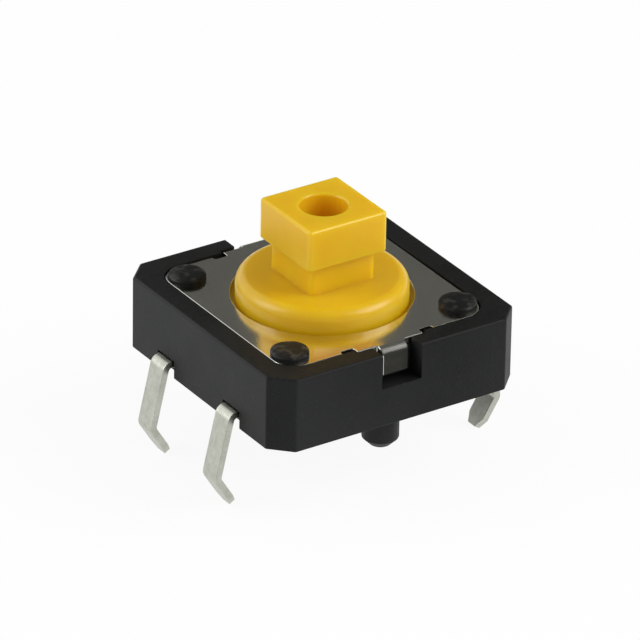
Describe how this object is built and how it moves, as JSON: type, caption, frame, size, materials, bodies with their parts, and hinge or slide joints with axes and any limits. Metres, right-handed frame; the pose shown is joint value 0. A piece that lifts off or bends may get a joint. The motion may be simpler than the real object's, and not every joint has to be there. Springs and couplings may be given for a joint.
{
  "type": "tactile push button switch",
  "caption": "Square through-hole tactile push button switch with a raised square plunger, steel cover and bent leads.",
  "frame": {"origin": "centre of the base's underside, the face that sits on the circuit board", "axes": "+Z out of the board along the plunger, X towards the walls that the leads leave through, Y towards the walls with the cover's tabs"},
  "size_m": [0.014, 0.012, 0.0109],
  "materials": {
    "black_moulding": "satin black moulded plastic",
    "cover_steel": "bright rolled stainless sheet",
    "yellow_moulding": "satin yellow moulded plastic",
    "dome_steel": "bright spring steel",
    "contact_metal": "silver plated"
  },
  "bodies": {
    "housing": {"base": "black_moulding", "cover": "cover_steel", "snap_dome": "dome_steel", "contact_frame_centre": "contact_metal", "contact_frame_outer": "contact_metal"},
    "button": {"plunger": "yellow_moulding"}
  },
  "joints": [
    {"name": "plunger_press", "type": "slide", "parent": "housing", "child": "button", "axis": [0, 0, -1], "range_m": [0, 0.0003], "stiffness_N_per_m": 4300, "deforming": ["snap_dome"]}
  ]
}
